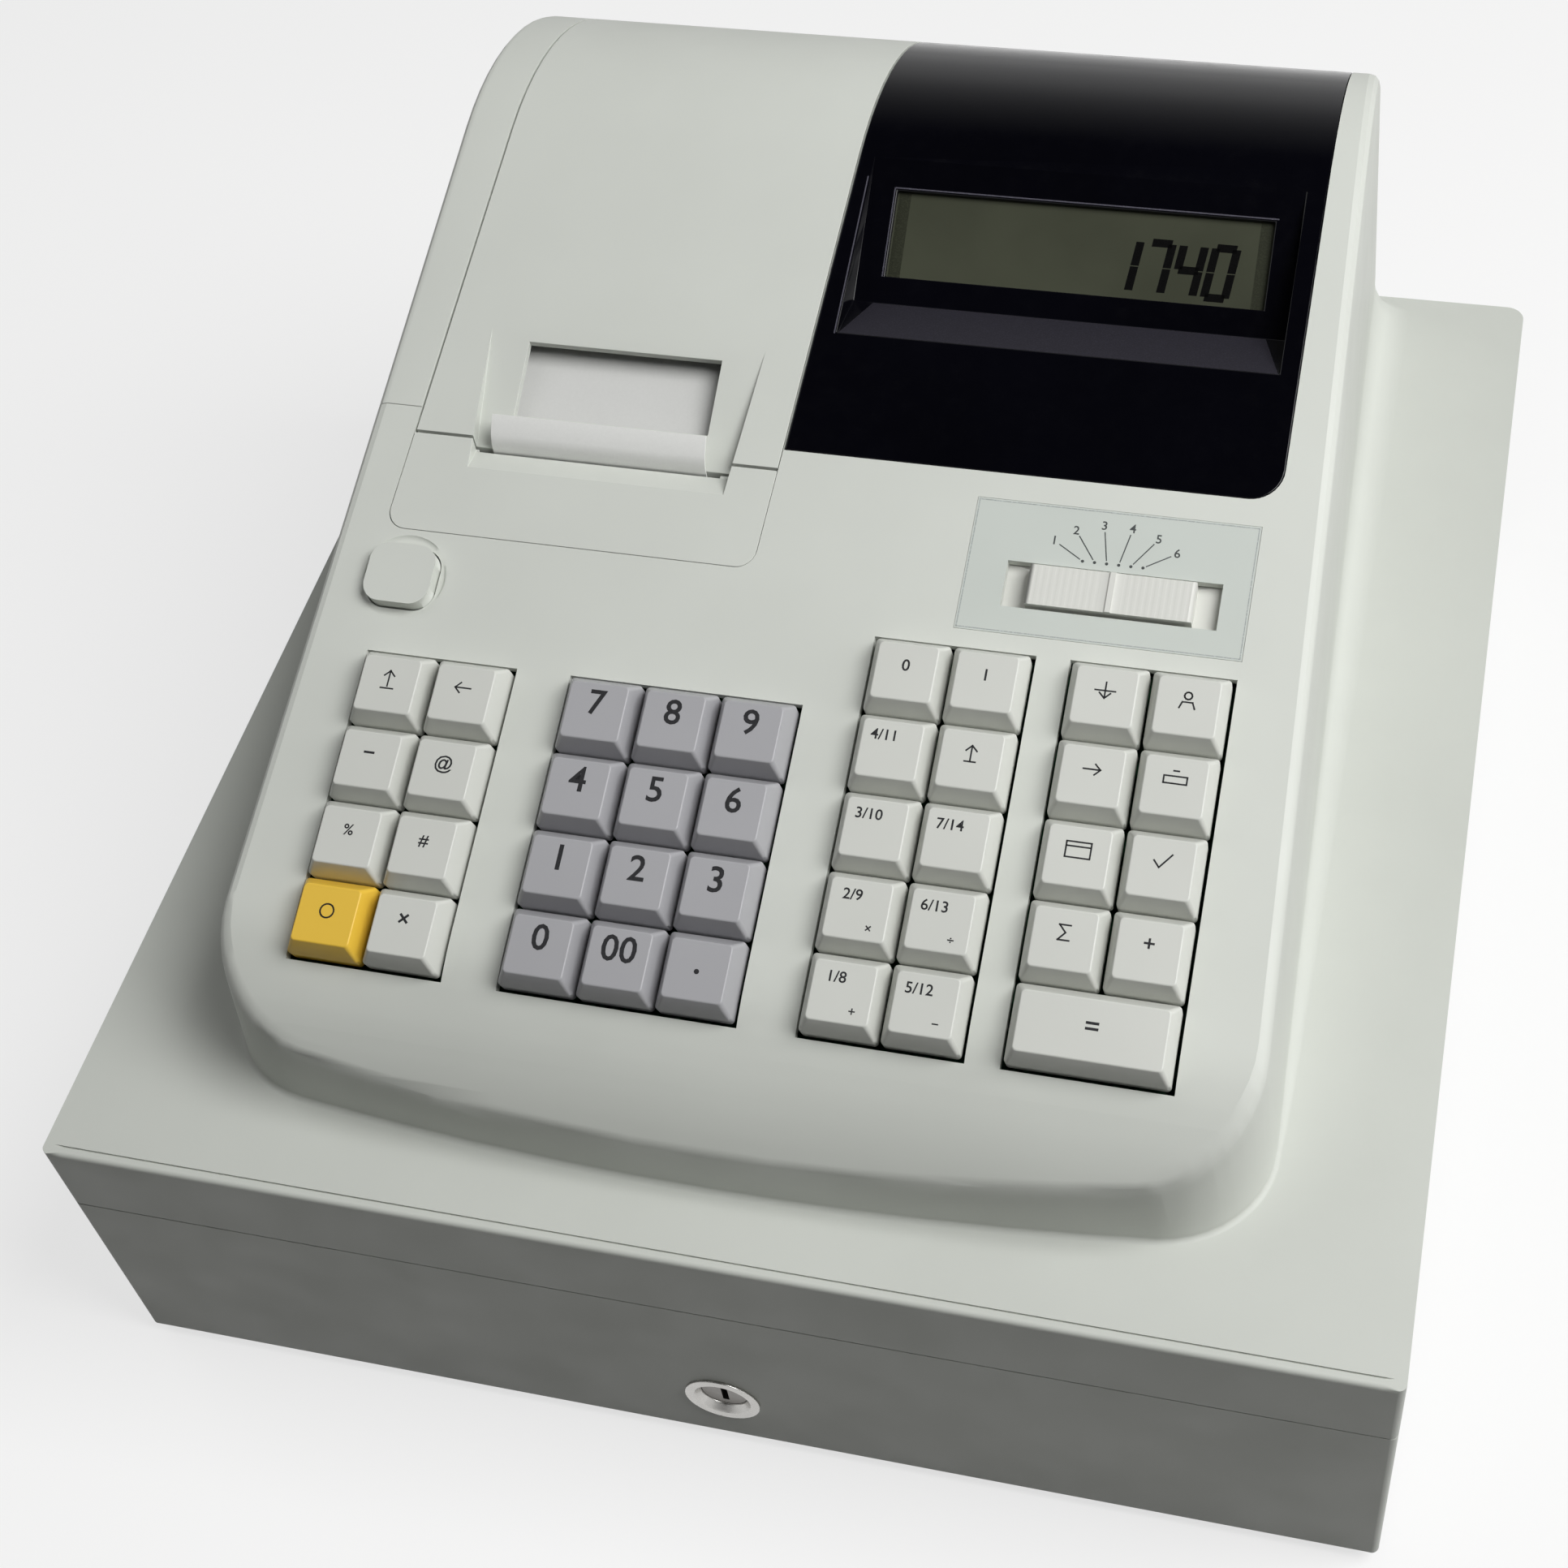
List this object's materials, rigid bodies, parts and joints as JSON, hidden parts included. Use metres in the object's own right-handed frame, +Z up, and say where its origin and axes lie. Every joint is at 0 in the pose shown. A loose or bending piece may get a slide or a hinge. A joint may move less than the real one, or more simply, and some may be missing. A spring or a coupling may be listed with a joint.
{
  "type": "cash register",
  "caption": "Counter-top cash register that prints receipts: sliding cash drawer, sloping key panel, hinged paper cover, display and mode switch.",
  "frame": {"origin": "on the surface the feet stand on, under the middle of the case", "axes": "+X to the operator's right, +Y to the back, +Z up"},
  "size_m": [0.33, 0.354, 0.2124],
  "materials": {
    "case_plastic": "fine textured, pale grey-green",
    "key_white": "smooth satin, off-white",
    "key_blue": "smooth satin, bluish grey",
    "key_yellow": "smooth satin, yellow",
    "gloss_black": "high gloss, black",
    "display_glass": "clear over an olive-grey display",
    "plate_print": "printed plate, pale bluish",
    "insert_plastic": "moulded, dark grey",
    "bright_metal": "bright plated",
    "steel": "plated sheet",
    "rubber": "soft, black",
    "circuit_board": "green lacquer",
    "paper": "smooth white"
  },
  "bodies": {
    "root": {"lower_cabinet": "case_plastic", "upper_cabinet": "case_plastic", "side_cheek": "case_plastic", "head_cover": "case_plastic", "display_bezel": "gloss_black", "lcd_panels": "display_glass", "mode_plate": "plate_print", "feet": "rubber", "keyboard_board": "circuit_board", "printer_unit": "steel", "receipt_paper": "paper"},
    "drawer": {"drawer": "case_plastic", "cash_insert": "insert_plastic", "lock_housing": "bright_metal"},
    "note_clips": {"note_clip_bar": "insert_plastic"},
    "lock": {"lock_barrel": "bright_metal"},
    "latch": {"drawer_latch": "steel"},
    "paper_cover": {"roll_cover": "case_plastic"},
    "cover_release": {"cover_button": "case_plastic"},
    "mode_switch": {"mode_slider": "case_plastic"},
    "paper_roll": {"paper_roll": "paper"},
    "key_feed": {"key_feed": "key_white"},
    "key_void": {"key_void": "key_white"},
    "key_refund": {"key_refund": "key_white"},
    "key_price": {"key_price": "key_white"},
    "key_percent": {"key_percent": "key_white"},
    "key_item": {"key_item": "key_white"},
    "key_clear": {"key_clear": "key_yellow"},
    "key_quantity": {"key_quantity": "key_white"},
    "key_7": {"key_7": "key_blue"},
    "key_8": {"key_8": "key_blue"},
    "key_9": {"key_9": "key_blue"},
    "key_4": {"key_4": "key_blue"},
    "key_5": {"key_5": "key_blue"},
    "key_6": {"key_6": "key_blue"},
    "key_1": {"key_1": "key_blue"},
    "key_2": {"key_2": "key_blue"},
    "key_3": {"key_3": "key_blue"},
    "key_0": {"key_0": "key_blue"},
    "key_00": {"key_00": "key_blue"},
    "key_point": {"key_point": "key_blue"},
    "key_receipt_off": {"key_receipt_off": "key_white"},
    "key_receipt_on": {"key_receipt_on": "key_white"},
    "key_group_4": {"key_group_4": "key_white"},
    "key_group_shift": {"key_group_shift": "key_white"},
    "key_group_3": {"key_group_3": "key_white"},
    "key_group_7": {"key_group_7": "key_white"},
    "key_group_2": {"key_group_2": "key_white"},
    "key_group_6": {"key_group_6": "key_white"},
    "key_group_1": {"key_group_1": "key_white"},
    "key_group_5": {"key_group_5": "key_white"},
    "key_paid_out": {"key_paid_out": "key_white"},
    "key_clerk": {"key_clerk": "key_white"},
    "key_received": {"key_received": "key_white"},
    "key_no_sale": {"key_no_sale": "key_white"},
    "key_card": {"key_card": "key_white"},
    "key_check": {"key_check": "key_white"},
    "key_subtotal": {"key_subtotal": "key_white"},
    "key_charge": {"key_charge": "key_white"},
    "key_total": {"key_total": "key_white"}
  },
  "joints": [
    {"name": "drawer_slide", "type": "slide", "parent": "root", "child": "drawer", "axis": [0, -1, 0], "range_m": [0, 0.24]},
    {"name": "paper_cover_hinge", "type": "hinge", "parent": "root", "child": "paper_cover", "pos_m": [-0.055, 0.17082, 0.15758], "axis": [-1, 0, 0], "range_deg": [0, 75], "deforming": ["receipt_paper"]},
    {"name": "note_clip_hinge", "type": "hinge", "parent": "drawer", "child": "note_clips", "pos_m": [0, 0.138, 0.047], "axis": [-1, 0, 0], "range_deg": [0, 38], "stiffness_Nm_per_rad": 0.05, "springref_deg": -17.19},
    {"name": "lock_turn", "type": "hinge", "parent": "drawer", "child": "lock", "pos_m": [0, -0.165, 0.0257], "axis": [0, 1, 0], "range_deg": [0, 90]},
    {"name": "latch_hinge", "type": "hinge", "parent": "root", "child": "latch", "pos_m": [0, 0.17, 0.0645], "axis": [1, 0, 0], "range_deg": [0, 22], "stiffness_Nm_per_rad": 0.05, "springref_deg": -11.46},
    {"name": "mode_slide", "type": "slide", "parent": "root", "child": "mode_switch", "axis": [1, 0, 0], "range_m": [-0.0057, 0.0057]},
    {"name": "cover_release_press", "type": "slide", "parent": "root", "child": "cover_release", "axis": [0, 0.3239, -0.9461], "range_m": [0, 0.0025], "stiffness_N_per_m": 600, "springref_m": -0.001},
    {"name": "paper_roll_turn", "type": "hinge", "parent": "root", "child": "paper_roll", "pos_m": [-0.061, 0.084, 0.134], "axis": [1, 0, 0], "continuous": true},
    {"name": "key_feed_press", "type": "slide", "parent": "root", "child": "key_feed", "axis": [0, 0.3239, -0.9461], "range_m": [0, 0.003], "stiffness_N_per_m": 250, "springref_m": -0.001},
    {"name": "key_void_press", "type": "slide", "parent": "root", "child": "key_void", "axis": [0, 0.3239, -0.9461], "range_m": [0, 0.003], "stiffness_N_per_m": 250, "springref_m": -0.001},
    {"name": "key_refund_press", "type": "slide", "parent": "root", "child": "key_refund", "axis": [0, 0.3239, -0.9461], "range_m": [0, 0.003], "stiffness_N_per_m": 250, "springref_m": -0.001},
    {"name": "key_price_press", "type": "slide", "parent": "root", "child": "key_price", "axis": [0, 0.3239, -0.9461], "range_m": [0, 0.003], "stiffness_N_per_m": 250, "springref_m": -0.001},
    {"name": "key_percent_press", "type": "slide", "parent": "root", "child": "key_percent", "axis": [0, 0.3239, -0.9461], "range_m": [0, 0.003], "stiffness_N_per_m": 250, "springref_m": -0.001},
    {"name": "key_item_press", "type": "slide", "parent": "root", "child": "key_item", "axis": [0, 0.3239, -0.9461], "range_m": [0, 0.003], "stiffness_N_per_m": 250, "springref_m": -0.001},
    {"name": "key_clear_press", "type": "slide", "parent": "root", "child": "key_clear", "axis": [0, 0.3239, -0.9461], "range_m": [0, 0.003], "stiffness_N_per_m": 250, "springref_m": -0.001},
    {"name": "key_quantity_press", "type": "slide", "parent": "root", "child": "key_quantity", "axis": [0, 0.3239, -0.9461], "range_m": [0, 0.003], "stiffness_N_per_m": 250, "springref_m": -0.001},
    {"name": "key_7_press", "type": "slide", "parent": "root", "child": "key_7", "axis": [0, 0.3239, -0.9461], "range_m": [0, 0.003], "stiffness_N_per_m": 250, "springref_m": -0.001},
    {"name": "key_8_press", "type": "slide", "parent": "root", "child": "key_8", "axis": [0, 0.3239, -0.9461], "range_m": [0, 0.003], "stiffness_N_per_m": 250, "springref_m": -0.001},
    {"name": "key_9_press", "type": "slide", "parent": "root", "child": "key_9", "axis": [0, 0.3239, -0.9461], "range_m": [0, 0.003], "stiffness_N_per_m": 250, "springref_m": -0.001},
    {"name": "key_4_press", "type": "slide", "parent": "root", "child": "key_4", "axis": [0, 0.3239, -0.9461], "range_m": [0, 0.003], "stiffness_N_per_m": 250, "springref_m": -0.001},
    {"name": "key_5_press", "type": "slide", "parent": "root", "child": "key_5", "axis": [0, 0.3239, -0.9461], "range_m": [0, 0.003], "stiffness_N_per_m": 250, "springref_m": -0.001},
    {"name": "key_6_press", "type": "slide", "parent": "root", "child": "key_6", "axis": [0, 0.3239, -0.9461], "range_m": [0, 0.003], "stiffness_N_per_m": 250, "springref_m": -0.001},
    {"name": "key_1_press", "type": "slide", "parent": "root", "child": "key_1", "axis": [0, 0.3239, -0.9461], "range_m": [0, 0.003], "stiffness_N_per_m": 250, "springref_m": -0.001},
    {"name": "key_2_press", "type": "slide", "parent": "root", "child": "key_2", "axis": [0, 0.3239, -0.9461], "range_m": [0, 0.003], "stiffness_N_per_m": 250, "springref_m": -0.001},
    {"name": "key_3_press", "type": "slide", "parent": "root", "child": "key_3", "axis": [0, 0.3239, -0.9461], "range_m": [0, 0.003], "stiffness_N_per_m": 250, "springref_m": -0.001},
    {"name": "key_0_press", "type": "slide", "parent": "root", "child": "key_0", "axis": [0, 0.3239, -0.9461], "range_m": [0, 0.003], "stiffness_N_per_m": 250, "springref_m": -0.001},
    {"name": "key_00_press", "type": "slide", "parent": "root", "child": "key_00", "axis": [0, 0.3239, -0.9461], "range_m": [0, 0.003], "stiffness_N_per_m": 250, "springref_m": -0.001},
    {"name": "key_point_press", "type": "slide", "parent": "root", "child": "key_point", "axis": [0, 0.3239, -0.9461], "range_m": [0, 0.003], "stiffness_N_per_m": 250, "springref_m": -0.001},
    {"name": "key_receipt_off_press", "type": "slide", "parent": "root", "child": "key_receipt_off", "axis": [0, 0.3239, -0.9461], "range_m": [0, 0.003], "stiffness_N_per_m": 250, "springref_m": -0.001},
    {"name": "key_receipt_on_press", "type": "slide", "parent": "root", "child": "key_receipt_on", "axis": [0, 0.3239, -0.9461], "range_m": [0, 0.003], "stiffness_N_per_m": 250, "springref_m": -0.001},
    {"name": "key_group_4_press", "type": "slide", "parent": "root", "child": "key_group_4", "axis": [0, 0.3239, -0.9461], "range_m": [0, 0.003], "stiffness_N_per_m": 250, "springref_m": -0.001},
    {"name": "key_group_shift_press", "type": "slide", "parent": "root", "child": "key_group_shift", "axis": [0, 0.3239, -0.9461], "range_m": [0, 0.003], "stiffness_N_per_m": 250, "springref_m": -0.001},
    {"name": "key_group_3_press", "type": "slide", "parent": "root", "child": "key_group_3", "axis": [0, 0.3239, -0.9461], "range_m": [0, 0.003], "stiffness_N_per_m": 250, "springref_m": -0.001},
    {"name": "key_group_7_press", "type": "slide", "parent": "root", "child": "key_group_7", "axis": [0, 0.3239, -0.9461], "range_m": [0, 0.003], "stiffness_N_per_m": 250, "springref_m": -0.001},
    {"name": "key_group_2_press", "type": "slide", "parent": "root", "child": "key_group_2", "axis": [0, 0.3239, -0.9461], "range_m": [0, 0.003], "stiffness_N_per_m": 250, "springref_m": -0.001},
    {"name": "key_group_6_press", "type": "slide", "parent": "root", "child": "key_group_6", "axis": [0, 0.3239, -0.9461], "range_m": [0, 0.003], "stiffness_N_per_m": 250, "springref_m": -0.001},
    {"name": "key_group_1_press", "type": "slide", "parent": "root", "child": "key_group_1", "axis": [0, 0.3239, -0.9461], "range_m": [0, 0.003], "stiffness_N_per_m": 250, "springref_m": -0.001},
    {"name": "key_group_5_press", "type": "slide", "parent": "root", "child": "key_group_5", "axis": [0, 0.3239, -0.9461], "range_m": [0, 0.003], "stiffness_N_per_m": 250, "springref_m": -0.001},
    {"name": "key_paid_out_press", "type": "slide", "parent": "root", "child": "key_paid_out", "axis": [0, 0.3239, -0.9461], "range_m": [0, 0.003], "stiffness_N_per_m": 250, "springref_m": -0.001},
    {"name": "key_clerk_press", "type": "slide", "parent": "root", "child": "key_clerk", "axis": [0, 0.3239, -0.9461], "range_m": [0, 0.003], "stiffness_N_per_m": 250, "springref_m": -0.001},
    {"name": "key_received_press", "type": "slide", "parent": "root", "child": "key_received", "axis": [0, 0.3239, -0.9461], "range_m": [0, 0.003], "stiffness_N_per_m": 250, "springref_m": -0.001},
    {"name": "key_no_sale_press", "type": "slide", "parent": "root", "child": "key_no_sale", "axis": [0, 0.3239, -0.9461], "range_m": [0, 0.003], "stiffness_N_per_m": 250, "springref_m": -0.001},
    {"name": "key_card_press", "type": "slide", "parent": "root", "child": "key_card", "axis": [0, 0.3239, -0.9461], "range_m": [0, 0.003], "stiffness_N_per_m": 250, "springref_m": -0.001},
    {"name": "key_check_press", "type": "slide", "parent": "root", "child": "key_check", "axis": [0, 0.3239, -0.9461], "range_m": [0, 0.003], "stiffness_N_per_m": 250, "springref_m": -0.001},
    {"name": "key_subtotal_press", "type": "slide", "parent": "root", "child": "key_subtotal", "axis": [0, 0.3239, -0.9461], "range_m": [0, 0.003], "stiffness_N_per_m": 250, "springref_m": -0.001},
    {"name": "key_charge_press", "type": "slide", "parent": "root", "child": "key_charge", "axis": [0, 0.3239, -0.9461], "range_m": [0, 0.003], "stiffness_N_per_m": 250, "springref_m": -0.001},
    {"name": "key_total_press", "type": "slide", "parent": "root", "child": "key_total", "axis": [0, 0.3239, -0.9461], "range_m": [0, 0.003], "stiffness_N_per_m": 250, "springref_m": -0.001}
  ]
}
